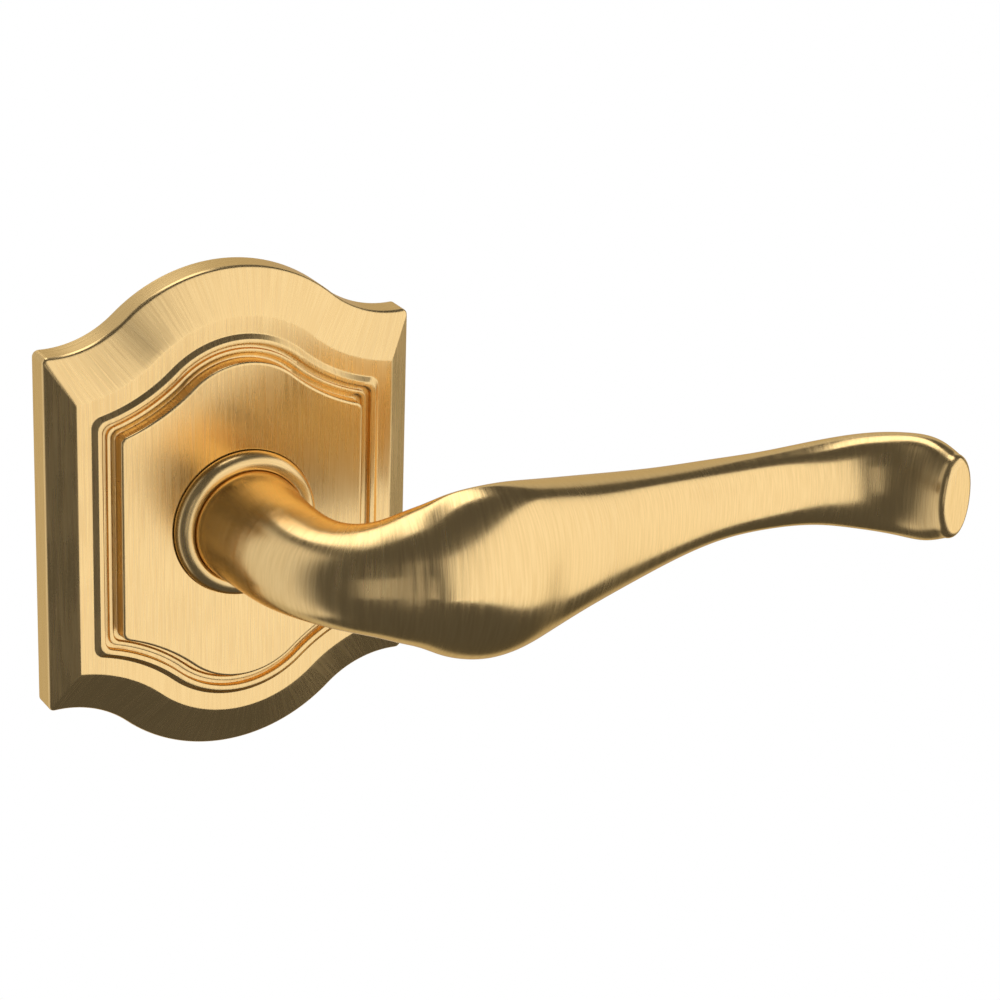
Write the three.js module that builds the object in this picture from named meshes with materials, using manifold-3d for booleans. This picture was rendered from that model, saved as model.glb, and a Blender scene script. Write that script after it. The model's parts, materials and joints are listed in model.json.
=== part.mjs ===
// Lever handle trim for one side of a door: a moulded rosette with its lever, and the plate,
// spring cassette, spindle and fasteners behind and inside it.
//
// Millimetres. The spindle axis is the Y axis. The door's face is the plane Y = 0, the door is on
// the +Y side and the room on the -Y side. +X runs along the lever and +Z is up.

import * as THREE from "three";
import { mergeVertices } from "three/addons/utils/BufferGeometryUtils.js";
import Module from "manifold-3d";

const wasm = await Module();
wasm.setup();

// ---- Driving dimensions -------------------------------------------------------------------

const GAP = 0.1; // between pieces that rest on each other
const ROUND = 36; // segments in a full circle

const PLATE = {
  halfWidth: 33.4, // 2-5/8 in wide
  apex: 43.6, // half the height, at the middle
  crownRadius: 29, // the convex arc over the middle
  crownAngle: 0.72, // radians of it on each side
  shoulderRadius: 18.55, // the concave arc that runs out to the corner
  rim: 4.6, // height of the vertical side
  land: 8.1, // the flat step inside the bevel
  bead: 8.9, // the first raised line
  step: 8.6, // the second flat line
  panel: 10.8, // the middle field
};

const COLLAR = {
  radius: 12.9,
  front: 13.3,
  wallOut: 11.2,
  crest: 10.6,
  bore: 10.3,
  holeRadius: 13.15,
};
const FLANGE = { radius: 15.3, back: 7.85, front: 8.85 };

const NECK_RADIUS = 10;
const SHOULDER = 12.6; // where the neck ends and its shank goes on into the cassette
const SHANK = { radius: 8.6, end: 1.2, halfFlat: 7.6, flatFrom: 6.2 };
const GROOVE = { radius: 7.5, front: 3.4, back: 2.4 };

const SPINDLE = { side: 8, socket: 8.3, front: 20.5, rear: 44, chamfer: 0.8 };
const SET_SCREW = { radius: 2.4, hole: 2.6, at: 16.5, length: 4.6, hex: 2.5 };

const CASSETTE = { radius: 19.2, inner: 17.4, front: 7.75, floor: 6.75, back: 3.3 };
const EAR = { at: 22.3, radius: 3.3, thick: 1.2 };
const HUB = { radius: 12.5, front: 6.05, back: 3.5, ear: 17, earAngle: 8 };
const COVER = { front: 3.2, back: 2.2, hole: 10.8 };
const TURN_LIMIT = 45; // degrees each way
const STOP_PIN = { radius: 1.1, at: 15, slot: 1.35 };
const SPRING = { arc: 15, coil: 1.15, wire: 0.9, turns: 16, from: 101, to: 257 };

const LINER = { radius: 28.5, thick: 2, hole: 10.8, tabHalf: 6, tabEnd: 39.8 };
const POST = {
  at: 23.2,
  radius: 3.4,
  length: 18,
  spigot: 2.5,
  headThick: 1,
  bore: 2.1,
  boreEnd: 2,
};
const SCREW = { radius: 1.3, hole: 1.6, head: 2.5, headThick: 1.3, slot: 0.7, slotDeep: 0.7 };
const CLIP = { gauge: 0.4, halfHeight: 5, heel: 25.5, bend: 28.7, grip: 30.85, toe: 29.3 };
const ROSE_SCREW = { radius: 1.4, hole: 1.6, at: 2.2, length: 3, hex: 1.5 };

// ---- Materials ------------------------------------------------------------------------------

const finish = (color, roughness, metalness) =>
  new THREE.MeshStandardMaterial({ color, roughness, metalness });

const SATIN_BRASS = finish(0xc9a05a, 0.38, 1);
const ZINC = finish(0xa9abae, 0.5, 1);
const STEEL = finish(0xb8bcc0, 0.35, 1);
const SPRING_STEEL = finish(0x5c5f63, 0.3, 1);
const NYLON = finish(0xe9e4d6, 0.6, 0);

// ---- Geometry helpers -------------------------------------------------------------------------

// A closed geometry as a solid that can be cut and joined.
function solid(geometry) {
  const bare = geometry.index ? geometry.toNonIndexed() : geometry.clone();
  bare.deleteAttribute("normal");
  bare.deleteAttribute("uv");
  const merged = mergeVertices(bare, 1e-4);
  return new wasm.Manifold(
    new wasm.Mesh({
      numProp: 3,
      vertProperties: merged.attributes.position.array,
      triVerts: new Uint32Array(merged.index.array),
    }),
  );
}

// A solid back as a geometry for a mesh.
function geometryOf(made) {
  const mesh = made.getMesh();
  const geometry = new THREE.BufferGeometry();
  geometry.setAttribute("position", new THREE.BufferAttribute(mesh.vertProperties, 3));
  geometry.setIndex(new THREE.BufferAttribute(mesh.triVerts, 1));
  geometry.computeVertexNormals();
  return geometry;
}

const radians = (degrees) => (degrees * Math.PI) / 180;

// A profile of [radius, distance out of the door] points turned about the spindle axis.
function turned(profile, segments = ROUND) {
  const points = profile.map(([radius, out]) => new THREE.Vector2(radius, -out));
  if (THREE.ShapeUtils.isClockWise(points)) points.reverse();
  points.push(points[0].clone());
  return new THREE.LatheGeometry(points, segments);
}

// A washer or tube between two distances out of the door; inner 0 makes a disc.
function tube(inner, outer, back, front) {
  return turned([
    [inner, back],
    [outer, back],
    [outer, front],
    [inner, front],
  ]);
}

// A flat outline in X and Z, extruded from one distance out of the door to a greater one.
function slab(outline, back, front, curveSegments = ROUND / 4) {
  const settings = { depth: front - back, bevelEnabled: false, curveSegments };
  return new THREE.ExtrudeGeometry(outline, settings)
    .rotateX(Math.PI / 2)
    .translate(0, -back, 0);
}

// A round bar along Y between two distances out of the door, at a place in X and Z.
function bar(radius, back, front, x = 0, z = 0, segments = ROUND / 2) {
  return new THREE.CylinderGeometry(radius, radius, front - back, segments)
    .translate(x, -(front + back) / 2, z);
}

// An upright round bar along Z.
function upright(radius, low, high, out, segments = ROUND / 2) {
  return new THREE.CylinderGeometry(radius, radius, high - low, segments)
    .rotateX(Math.PI / 2)
    .translate(0, -out, (low + high) / 2);
}

function box(width, back, front, height, x = 0, z = 0) {
  return new THREE.BoxGeometry(width, front - back, height)
    .translate(x, -(front + back) / 2, z);
}

// The hole of a shape: a circle at a place.
function hole(radius, x = 0, z = 0) {
  return new THREE.Path().absarc(x, z, radius, 0, 2 * Math.PI, true);
}

function mesh(name, geometry, material) {
  const made = new THREE.Mesh(geometry, material);
  made.name = name;
  return made;
}

const polar = (radius, degrees) => [
  radius * Math.cos(radians(degrees)),
  radius * Math.sin(radians(degrees)),
];

// ---- Rosette --------------------------------------------------------------------------------

// One quarter of the rosette's outline, from the apex to the corner, moved in by `top` at the
// crown and by `side` at the straight side: crown arc, shoulder arc, then a small corner arc.
function quarterOutline(side, top, corner) {
  const { halfWidth, apex, crownRadius, crownAngle, shoulderRadius } = PLATE;
  const CROWN_STEPS = 7;
  const SHOULDER_STEPS = 5;
  const CORNER_STEPS = 3;
  const crownCentre = new THREE.Vector2(0, apex - crownRadius);
  const crown = crownRadius - top;
  const shoulder = shoulderRadius + top;
  const away = new THREE.Vector2(Math.sin(crownAngle), Math.cos(crownAngle));
  const shoulderCentre = crownCentre.clone().addScaledVector(away, crownRadius + shoulderRadius);
  const cornerX = halfWidth - side - corner;
  const reach = shoulder + corner;
  const run = cornerX - shoulderCentre.x;
  const cornerCentre = new THREE.Vector2(
    cornerX,
    shoulderCentre.y - Math.sqrt(reach * reach - run * run),
  );
  const shoulderEnd = Math.atan2(-run, shoulderCentre.y - cornerCentre.y);
  const points = [];
  for (let i = 0; i < CROWN_STEPS; i++) {
    const angle = (crownAngle * i) / CROWN_STEPS;
    points.push([crown * Math.sin(angle), crownCentre.y + crown * Math.cos(angle)]);
  }
  for (let i = 0; i < SHOULDER_STEPS; i++) {
    const angle = THREE.MathUtils.lerp(crownAngle, shoulderEnd, i / SHOULDER_STEPS);
    points.push([
      shoulderCentre.x - shoulder * Math.sin(angle),
      shoulderCentre.y - shoulder * Math.cos(angle),
    ]);
  }
  const cornerStart = Math.PI / 2 - shoulderEnd;
  for (let i = 0; i <= CORNER_STEPS; i++) {
    const angle = cornerStart * (1 - i / CORNER_STEPS);
    points.push([
      cornerCentre.x + corner * Math.cos(angle),
      cornerCentre.y + corner * Math.sin(angle),
    ]);
  }
  return points;
}

// The whole outline, anticlockwise as seen from the room, mirrored from its quarter.
function outline(side, top, corner) {
  const fromApex = quarterOutline(side, top, corner);
  const toApex = fromApex.slice().reverse();
  return [
    ...toApex,
    ...fromApex.slice(1).map(([x, z]) => [-x, z]),
    ...toApex.map(([x, z]) => [-x, -z]),
    ...fromApex.slice(1).map(([x, z]) => [x, -z]),
  ];
}

// The moulding's cross-section: how far in from the side, how far in from the crown, how far out
// of the door, and the corner's radius.
const SIDE_TO_TOP = 3.75; // the inner lines keep this much more margin at the crown
const inner = (side, out, corner) => [side, side + SIDE_TO_TOP, out, corner];
const MOULDING = [
  [0, 0, 0, 1.5],
  [0, 0, PLATE.rim - 0.25, 1.5],
  [0.2, 0.25, PLATE.rim, 1.5],
  [4.35, 7.4, PLATE.land - 0.1, 1.2],
  [4.8, 7.9, PLATE.land, 1.2],
  inner(7.05, PLATE.land, 2),
  inner(7.2, PLATE.bead - 0.25, 2),
  inner(7.75, PLATE.bead, 1.9),
  inner(8.75, PLATE.bead, 1.8),
  inner(9.15, PLATE.bead - 0.7, 1.7),
  inner(9.6, PLATE.step - 0.45, 1.7),
  inner(9.8, PLATE.step, 1.7),
  inner(10.7, PLATE.step, 1.6),
  inner(11.35, PLATE.step + 0.5, 1.4),
  inner(11.5, PLATE.panel - 0.35, 1.4),
  inner(11.85, PLATE.panel, 1.3),
];

// The rosette as one lump, its rings joined in order and closed by a fan at each end.
function rosetteLump() {
  const rings = MOULDING.map(([side, top, out, corner]) =>
    outline(side, top, corner).map(([x, z]) => new THREE.Vector3(x, -out, z)),
  );
  return lofted(rings);
}

// Rings of equal length joined into one closed body, with a fan over the first and last.
function lofted(rings) {
  const count = rings[0].length;
  const points = rings.flat();
  const index = [];
  rings.slice(1).forEach((_, ring) => {
    for (let i = 0; i < count; i++) {
      const next = (i + 1) % count;
      const a = ring * count + i;
      const b = ring * count + next;
      const c = a + count;
      const d = b + count;
      index.push(a, b, c, b, d, c);
    }
  });
  [0, rings.length - 1].forEach((ring) => {
    const centre = points.length;
    const middle = new THREE.Vector3();
    rings[ring].forEach((point) => middle.addScaledVector(point, 1 / count));
    points.push(middle);
    for (let i = 0; i < count; i++) {
      const a = ring * count + i;
      const b = ring * count + ((i + 1) % count);
      if (ring === 0) index.push(centre, b, a);
      else index.push(centre, a, b);
    }
  });
  const geometry = new THREE.BufferGeometry().setFromPoints(points);
  geometry.setIndex(index);
  return geometry;
}

// An outline in X and Z as a shape.
function shapeOf(points) {
  return new THREE.Shape(points.map(([x, z]) => new THREE.Vector2(x, z)));
}

function rosette() {
  const rimCavity = slab(shapeOf(outline(2.4, 2.4, 1)), -1, 3.2);
  const bevelCavity = slab(shapeOf(outline(5.6, 8.2, 1)), -1, 6.2);
  const cassetteCavity = bar(CASSETTE.radius + 0.35, -1, FLANGE.front + GAP, 0, 0, ROUND);
  const collarHole = bar(COLLAR.holeRadius, -1, PLATE.panel + 1, 0, 0, ROUND);
  const screwHole = upright(ROSE_SCREW.hole, -PLATE.apex - 1, -PLATE.apex + 4, ROSE_SCREW.at);
  let made = solid(rosetteLump());
  [rimCavity, bevelCavity, cassetteCavity, collarHole, screwHole].forEach((cut) => {
    made = made.subtract(solid(cut));
  });
  return mesh("rosette", geometryOf(made), SATIN_BRASS);
}

// The ring round the lever's neck: an upright wall that rolls over a rounded front to the bore,
// and a flange behind the rosette's face that holds it in.
function roseCollar() {
  const { radius, front, bore, wallOut, crest } = COLLAR;
  const ROLL_STEPS = 8;
  const profile = [
    [bore, FLANGE.back],
    [FLANGE.radius, FLANGE.back],
    [FLANGE.radius, FLANGE.front],
    [radius, FLANGE.front],
  ];
  for (let i = 0; i <= ROLL_STEPS; i++) {
    const angle = (Math.PI / 2) * (i / ROLL_STEPS);
    profile.push([
      crest + (radius - crest) * Math.cos(angle),
      wallOut + (front - wallOut) * Math.sin(angle),
    ]);
  }
  profile.push([bore, front - 0.15]);
  return mesh("rose_collar", turned(profile), SATIN_BRASS);
}

// ---- Lever ----------------------------------------------------------------------------------

// The lever's centre line and its section: where it is in plan, half its height, half its
// thickness, and how square the oval is (2 is an ellipse, more is flatter in front). It leaves
// the door as a round neck, bends, swells into a flattened bulb, thins to a waist and flares
// again to a tip that curls towards the hand.
const LEVER_STATIONS = [
  { x: 0, out: 12.6, tall: 10, thick: 10, power: 2 },
  { x: 0, out: 19, tall: 9.6, thick: 9.4, power: 2 },
  { x: 0.3, out: 26.9, tall: 9.25, thick: 8.9, power: 2 },
  { x: 2.3, out: 34.77, tall: 8.46, thick: 8.73, power: 2.12 },
  { x: 7, out: 40.85, tall: 8.96, thick: 8.54, power: 2.13 },
  { x: 10, out: 42.63, tall: 9.86, thick: 8.49, power: 2 },
  { x: 13, out: 43.75, tall: 11, thick: 8.83, power: 1.92 },
  { x: 16.5, out: 44.6, tall: 12.35, thick: 9.46, power: 1.77 },
  { x: 20, out: 45.63, tall: 14.05, thick: 9.81, power: 1.59 },
  { x: 23.5, out: 46.57, tall: 15.05, thick: 9.77, power: 1.55 },
  { x: 27.5, out: 47.09, tall: 15.42, thick: 9.49, power: 1.62 },
  { x: 36, out: 45.37, tall: 14.12, thick: 7.69, power: 2.16 },
  { x: 46, out: 42.19, tall: 11.95, thick: 7.39, power: 2.3 },
  { x: 57, out: 39.38, tall: 9.98, thick: 6.34, power: 2.44 },
  { x: 68, out: 36.74, tall: 8.34, thick: 5.35, power: 2.49 },
  { x: 79, out: 34.68, tall: 7.27, thick: 4.83, power: 2.46 },
  { x: 90, out: 34.3, tall: 7.1, thick: 4.5, power: 2.3 },
  { x: 101, out: 35.15, tall: 7.87, thick: 5.3, power: 2.1 },
  { x: 107.2, out: 37.25, tall: 8.8, thick: 5.1, power: 2.1 },
  { x: 113.6, out: 41.7, tall: 9.6, thick: 5, power: 2.1 },
  { x: 117, out: 46.6, tall: 9.35, thick: 4.7, power: 2.1 },
  { x: 118.3, out: 49.9, tall: 7.9, thick: 4.3, power: 2.05 },
  { x: 118.68, out: 51.04, tall: 7.4, thick: 3.88, power: 2.05 },
  { x: 118.84, out: 51.51, tall: 6.2, thick: 2.86, power: 2.05 },
];
const LEVER_RINGS = 62;
const LEVER_SIDES = 24;

// A point of a unit superellipse.
function squared(angle, power) {
  const bend = (value) => Math.sign(value) * Math.abs(value) ** (2 / power);
  return [bend(Math.cos(angle)), bend(Math.sin(angle))];
}

// The lever's rings, square to its centre line.
function leverRings() {
  const path = new THREE.CatmullRomCurve3(
    LEVER_STATIONS.map(({ x, out }) => new THREE.Vector3(x, -out, 0)),
  );
  const size = new THREE.SplineCurve(
    LEVER_STATIONS.map(({ tall, thick }) => new THREE.Vector2(tall, thick)),
  );
  const shape = new THREE.SplineCurve(
    LEVER_STATIONS.map(({ x, power }) => new THREE.Vector2(x, power)),
  );
  const up = new THREE.Vector3(0, 0, 1);
  const rings = [];
  for (let i = 0; i <= LEVER_RINGS; i++) {
    const t = i / LEVER_RINGS;
    const along = i === 0 ? new THREE.Vector3(0, -1, 0) : path.getTangent(t);
    const across = new THREE.Vector3().crossVectors(up, along).normalize();
    const centre = path.getPoint(t);
    const { x: tall, y: thick } = size.getPoint(t);
    const { y: power } = shape.getPoint(t);
    const ring = [];
    for (let j = 0; j < LEVER_SIDES; j++) {
      const [side, top] = squared((2 * Math.PI * j) / LEVER_SIDES, power);
      ring.push(
        centre
          .clone()
          .addScaledVector(across, thick * side)
          .addScaledVector(up, tall * top),
      );
    }
    rings.push(ring);
  }
  return rings;
}

// The lever with its shank: flats for the hub, a groove for the snap ring, a square socket for
// the spindle and a threaded hole underneath for the set screw.
function leverHandle() {
  const shank = solid(bar(SHANK.radius, SHANK.end, SHOULDER + 3, 0, 0, ROUND));
  const groove = tube(GROOVE.radius, SHANK.radius + 1, GROOVE.back, GROOVE.front);
  const flats = [1, -1].map((side) =>
    box(2 * NECK_RADIUS, 0, SHANK.flatFrom, 4, 0, side * (SHANK.halfFlat + 2)),
  );
  const socket = box(SPINDLE.socket, 0, SPINDLE.front + 0.5, SPINDLE.socket);
  const screwHole = upright(SET_SCREW.hole, -NECK_RADIUS - 2, 0, SET_SCREW.at);
  let made = solid(lofted(leverRings())).add(shank);
  [groove, ...flats, socket, screwHole].forEach((cut) => {
    made = made.subtract(solid(cut));
  });
  return mesh("lever_handle", geometryOf(made), SATIN_BRASS);
}

// A headless screw along Z with a hexagon socket in its lower end.
function grubScrew(name, radius, low, high, out, hex) {
  const body = solid(upright(radius, low, high, out));
  const socket = upright(hex / Math.sqrt(3), low - 1, low + (high - low) * 0.4, out, 6);
  return mesh(name, geometryOf(body.subtract(solid(socket))), STEEL);
}

function leverSetScrew() {
  const tip = -SPINDLE.side / 2 - 0.2;
  const { radius, length, at, hex } = SET_SCREW;
  return grubScrew("lever_set_screw", radius, tip - length, tip, at, hex);
}

// The square spindle, chamfered at both ends.
function spindle() {
  const { side, chamfer, front, rear } = SPINDLE;
  const half = side / 2;
  const ring = (size, out) =>
    [[1, 1], [-1, 1], [-1, -1], [1, -1]].map(
      ([x, z]) => new THREE.Vector3(x * size, -out, z * size),
    );
  const rings = [
    ring(half - chamfer, -rear),
    ring(half, -rear + chamfer),
    ring(half, front - chamfer),
    ring(half - chamfer, front),
  ];
  return mesh("spindle", lofted(rings), STEEL);
}

function thrustWasher() {
  const washer = tube(SHANK.radius + 0.15, NECK_RADIUS - 0.05, SHOULDER - 0.35, SHOULDER - GAP / 2);
  return mesh("thrust_washer", washer, SPRING_STEEL);
}

// A split snap ring in the shank's groove.
function retainingRing() {
  const { radius, front, back } = GROOVE;
  const ring = solid(tube(radius + 0.15, radius + 2.6, back + 0.1, front - 0.1));
  const split = solid(box(4, 0, 6, 6, radius + 1.5, 0));
  return mesh("retaining_ring", geometryOf(ring.subtract(split)), SPRING_STEEL);
}

// The flat ring that the shank turns, with one ear between the two return springs.
function springHub() {
  const { radius, ear, earAngle, front, back } = HUB;
  const root = radius - 1.5;
  const earShape = new THREE.Shape()
    .absarc(0, 0, ear, radians(90 - earAngle), radians(90 + earAngle))
    .lineTo(...polar(root, 90 + earAngle))
    .lineTo(...polar(root, 90 - earAngle));
  const round = solid(bar(SHANK.radius + GAP, back - 1, front + 1, 0, 0, ROUND));
  const flats = solid(box(2 * radius, back - 2, front + 2, 2 * (SHANK.halfFlat + GAP)));
  const pinHole = solid(bar(STOP_PIN.radius + 0.05, back - 1, front + 1, 0, STOP_PIN.at));
  const made = solid(bar(radius, back, front, 0, 0, ROUND))
    .add(solid(slab(earShape, back, front)))
    .subtract(round.intersect(flats))
    .subtract(pinHole);
  return mesh("spring_hub", geometryOf(made), ZINC);
}

// The pin in the hub's ear that runs in the cover's curved slot and stops the lever.
function stopPin() {
  const pin = bar(STOP_PIN.radius, COVER.back + GAP, HUB.front - GAP, 0, STOP_PIN.at);
  return mesh("stop_pin", pin, STEEL);
}

// ---- Cassette, springs and bush ---------------------------------------------------------------

const EAR_ANGLES = [45, 135, 225, 315];

// The cassette's round outline with its four screw ears, joined into one solid.
function cassetteDisc(back, front, earFront) {
  let made = solid(bar(CASSETTE.radius, back, front, 0, 0, ROUND));
  EAR_ANGLES.forEach((angle) => {
    const [x, z] = polar(EAR.at, angle);
    made = made.add(solid(bar(EAR.radius, back, earFront, x, z)));
  });
  EAR_ANGLES.forEach((angle) => {
    const [x, z] = polar(EAR.at, angle);
    made = made.subtract(solid(bar(SCREW.hole, back - 1, earFront + 1, x, z)));
  });
  return made;
}

// The cup that holds the springs, with a block at the bottom that both springs push against.
function cassetteHousing() {
  const { inner: innerRadius, front, floor, back } = CASSETTE;
  const room = solid(bar(innerRadius, back - 1, floor, 0, 0, ROUND));
  const bore = solid(bar(COLLAR.bore, back - 1, front + 1, 0, 0, ROUND));
  const block = new THREE.Shape()
    .absarc(0, 0, innerRadius + 0.5, radians(260), radians(280))
    .lineTo(...polar(HUB.radius + 0.4, 280));
  block.absarc(0, 0, HUB.radius + 0.4, radians(280), radians(260), true);
  const made = cassetteDisc(back, front, back + EAR.thick)
    .subtract(room)
    .subtract(bore)
    .add(solid(slab(block, back, floor + 0.5)));
  return mesh("cassette_housing", geometryOf(made), ZINC);
}

// The cover behind the springs, with the curved slot that limits the turn.
function cassetteCover() {
  const limit = TURN_LIMIT + 1;
  const slot = new THREE.Shape();
  const { at, slot: half } = STOP_PIN;
  slot.absarc(0, 0, at + half, radians(90 - limit), radians(90 + limit));
  slot.absarc(...polar(at, 90 + limit), half, radians(90 + limit), radians(270 + limit));
  slot.absarc(0, 0, at - half, radians(90 + limit), radians(90 - limit), true);
  slot.absarc(...polar(at, 90 - limit), half, radians(270 - limit), radians(450 - limit));
  const made = cassetteDisc(COVER.back, COVER.front, COVER.front)
    .subtract(solid(bar(COVER.hole, 0, CASSETTE.front, 0, 0, ROUND)))
    .subtract(solid(slab(slot, COVER.back - 1, COVER.front + 1)));
  return mesh("cassette_cover", geometryOf(made), STEEL);
}

// A coil wound along an arc about the spindle axis.
class ArcCoil extends THREE.Curve {
  constructor(from, to) {
    super();
    this.from = radians(from);
    this.to = radians(to);
  }

  getPoint(t, target = new THREE.Vector3()) {
    const angle = THREE.MathUtils.lerp(this.from, this.to, t);
    const turn = 2 * Math.PI * SPRING.turns * t;
    const radius = SPRING.arc + SPRING.coil * Math.cos(turn);
    const out = (CASSETTE.floor + CASSETTE.back) / 2 + SPRING.coil * Math.sin(turn);
    return target.set(radius * Math.cos(angle), -out, radius * Math.sin(angle));
  }
}

function returnSpring(name, from, to) {
  const STEPS_PER_TURN = 8;
  const WIRE_SIDES = 5;
  const corners = [];
  for (let i = 0; i < WIRE_SIDES; i++) {
    corners.push(new THREE.Vector2(...polar(SPRING.wire / 2, (360 * i) / WIRE_SIDES)));
  }
  const settings = {
    steps: STEPS_PER_TURN * SPRING.turns,
    extrudePath: new ArcCoil(from, to),
    bevelEnabled: false,
  };
  const coil = new THREE.ExtrudeGeometry(new THREE.Shape(corners), settings);
  return mesh(name, coil, SPRING_STEEL);
}

// The nylon bush that the shank turns in, with a flange between the housing and the hub.
function bearingBush() {
  const inside = SHANK.radius + 0.15;
  const outside = COLLAR.bore - 0.15;
  const flangeFront = CASSETTE.floor - GAP;
  const flangeBack = HUB.front + GAP;
  const profile = [
    [inside, flangeBack],
    [outside + 1.8, flangeBack],
    [outside + 1.8, flangeFront],
    [outside, flangeFront],
    [outside, SHOULDER - 0.45],
    [inside, SHOULDER - 0.45],
  ];
  return mesh("bearing_bush", turned(profile), NYLON);
}

// ---- Mounting plate and fasteners -----------------------------------------------------------

// The steel plate that sits on the door over the cross bore, with a tab for the rosette's screw.
function mountingPlate() {
  const { radius, thick, hole: bore, tabHalf, tabEnd } = LINER;
  const tabAngle = Math.asin(tabHalf / radius);
  const shape = new THREE.Shape()
    .absarc(0, 0, radius, -Math.PI / 2 + tabAngle, 1.5 * Math.PI - tabAngle)
    .lineTo(-tabHalf, -tabEnd)
    .lineTo(tabHalf, -tabEnd);
  shape.holes.push(hole(bore));
  [1, -1].forEach((side) => shape.holes.push(hole(POST.spigot + GAP, 0, side * POST.at)));
  EAR_ANGLES.forEach((angle) => shape.holes.push(hole(SCREW.hole, ...polar(EAR.at, angle))));
  return mesh("mounting_plate", slab(shape, 0, thick, ROUND / 2), STEEL);
}

// A tapped post for the through bolt, riveted into the mounting plate.
function post(name, z) {
  const { radius, length, spigot, bore, boreEnd, headThick } = POST;
  const head = LINER.thick + GAP;
  const profile = [
    [0, -boreEnd],
    [bore, -boreEnd],
    [bore, -length],
    [radius, -length],
    [radius, -GAP],
    [spigot, -GAP],
    [spigot, head],
    [radius - 0.1, head],
    [radius - 0.6, head + headThick],
    [0, head + headThick],
  ];
  const placed = mesh(name, turned(profile, ROUND / 2), STEEL);
  placed.position.z = z;
  return placed;
}

// A slotted pan-head screw that clamps the housing and cover to the mounting plate.
function cassetteScrew(name, angle) {
  const { radius, head, headThick, slot, slotDeep } = SCREW;
  const under = CASSETTE.back + EAR.thick + GAP;
  const top = under + headThick;
  const stem = solid(bar(radius, 0.2, under + 0.5, 0, 0, ROUND / 4));
  const headProfile = [
    [0, under],
    [head, under],
    [head, top - 0.5],
    [head - 0.6, top],
    [0, top],
  ];
  const cap = solid(turned(headProfile, ROUND / 2));
  const cut = solid(box(2 * head + 1, top - slotDeep, top + 1, slot));
  const placed = mesh(name, geometryOf(stem.add(cap).subtract(cut)), STEEL);
  const [x, z] = polar(EAR.at, angle);
  placed.position.set(x, 0, z);
  return placed;
}

// A bent spring-steel strip on the plate's edge that grips inside the rosette's rim.
function roseClip(name, side) {
  const { gauge, halfHeight, heel, bend, grip, toe } = CLIP;
  const foot = LINER.thick + GAP;
  const flat = [
    [heel, foot],
    [bend, foot],
  ];
  const spring = [
    [bend + gauge, foot - 0.2],
    [grip - gauge, foot - 0.9],
    [toe, foot - 1.8],
  ];
  const flatOuter = flat.map(([x, out]) => [x, out + gauge]);
  const springOuter = spring.map(([x, out]) => [x + gauge, out]);
  const outlinePoints = [...flat, ...spring, ...springOuter.reverse(), ...flatOuter.reverse()];
  const strip = new THREE.ExtrudeGeometry(
    new THREE.Shape(outlinePoints.map(([x, out]) => new THREE.Vector2(x, -out))),
    { depth: 2 * halfHeight, bevelEnabled: false },
  );
  const placed = mesh(name, strip.translate(0, 0, -halfHeight), SPRING_STEEL);
  placed.scale.x = side;
  return placed;
}

function roseSetScrew() {
  const low = -PLATE.apex + 0.3;
  const { radius, length, at, hex } = ROSE_SCREW;
  return grubScrew("rose_set_screw", radius, low, low + length, at, hex);
}

// ---- Assembly ---------------------------------------------------------------------------------

const fixed = new THREE.Group();
fixed.add(
  rosette(),
  roseCollar(),
  bearingBush(),
  cassetteHousing(),
  cassetteCover(),
  returnSpring("return_spring_left", SPRING.from, SPRING.to),
  returnSpring("return_spring_right", 180 - SPRING.from, 180 - SPRING.to),
  mountingPlate(),
  post("post_upper", POST.at),
  post("post_lower", -POST.at),
  ...EAR_ANGLES.map((angle, i) => cassetteScrew(`cassette_screw_${i + 1}`, angle)),
  roseClip("rose_clip_left", -1),
  roseClip("rose_clip_right", 1),
  roseSetScrew(),
);

const turning = new THREE.Group();
turning.add(
  leverHandle(),
  leverSetScrew(),
  spindle(),
  thrustWasher(),
  retainingRing(),
  springHub(),
  stopPin(),
);

const lockset = new THREE.Group();
lockset.add(fixed, turning);

export default lockset;
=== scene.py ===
"""A door lever handle in brushed brass on its arched, moulded rosette, with its inner works.

Sizes in the tables are millimetres. X runs along the lever, Z is up, and the room is on the -Y
side of the door's face, so "out" is the distance from the door towards the room.
"""

import json
import math

import bmesh
import bpy
import numpy as np
from mathutils import Matrix, Vector


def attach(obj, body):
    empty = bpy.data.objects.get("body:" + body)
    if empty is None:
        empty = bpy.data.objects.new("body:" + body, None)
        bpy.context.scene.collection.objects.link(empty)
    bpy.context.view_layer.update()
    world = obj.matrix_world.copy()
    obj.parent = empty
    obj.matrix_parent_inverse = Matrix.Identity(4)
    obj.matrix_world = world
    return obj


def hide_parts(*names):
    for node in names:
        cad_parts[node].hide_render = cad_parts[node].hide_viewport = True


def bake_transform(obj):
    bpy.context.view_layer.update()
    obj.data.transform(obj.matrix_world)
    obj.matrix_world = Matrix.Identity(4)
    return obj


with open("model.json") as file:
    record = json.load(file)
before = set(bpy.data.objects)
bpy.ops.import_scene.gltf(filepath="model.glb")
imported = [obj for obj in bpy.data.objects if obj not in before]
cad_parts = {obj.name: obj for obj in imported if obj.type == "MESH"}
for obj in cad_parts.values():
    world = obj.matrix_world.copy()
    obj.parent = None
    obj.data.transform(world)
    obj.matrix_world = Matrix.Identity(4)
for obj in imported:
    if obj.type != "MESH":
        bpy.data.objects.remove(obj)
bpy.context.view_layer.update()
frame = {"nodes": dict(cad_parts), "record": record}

MM = 0.001

# ---- Driving dimensions ---------------------------------------------------------------------

PLATE = {
    "half_width": 33.4,
    "apex": 43.6,
    "crown_radius": 29.0,
    "crown_angle": 0.72,
    "shoulder_radius": 18.55,
    "screw_out": 2.2,
    "screw_radius": 1.6,
}
OUTLINE_STEPS = {"crown": 20, "shoulder": 16, "corner": 8, "side": 12}

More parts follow.
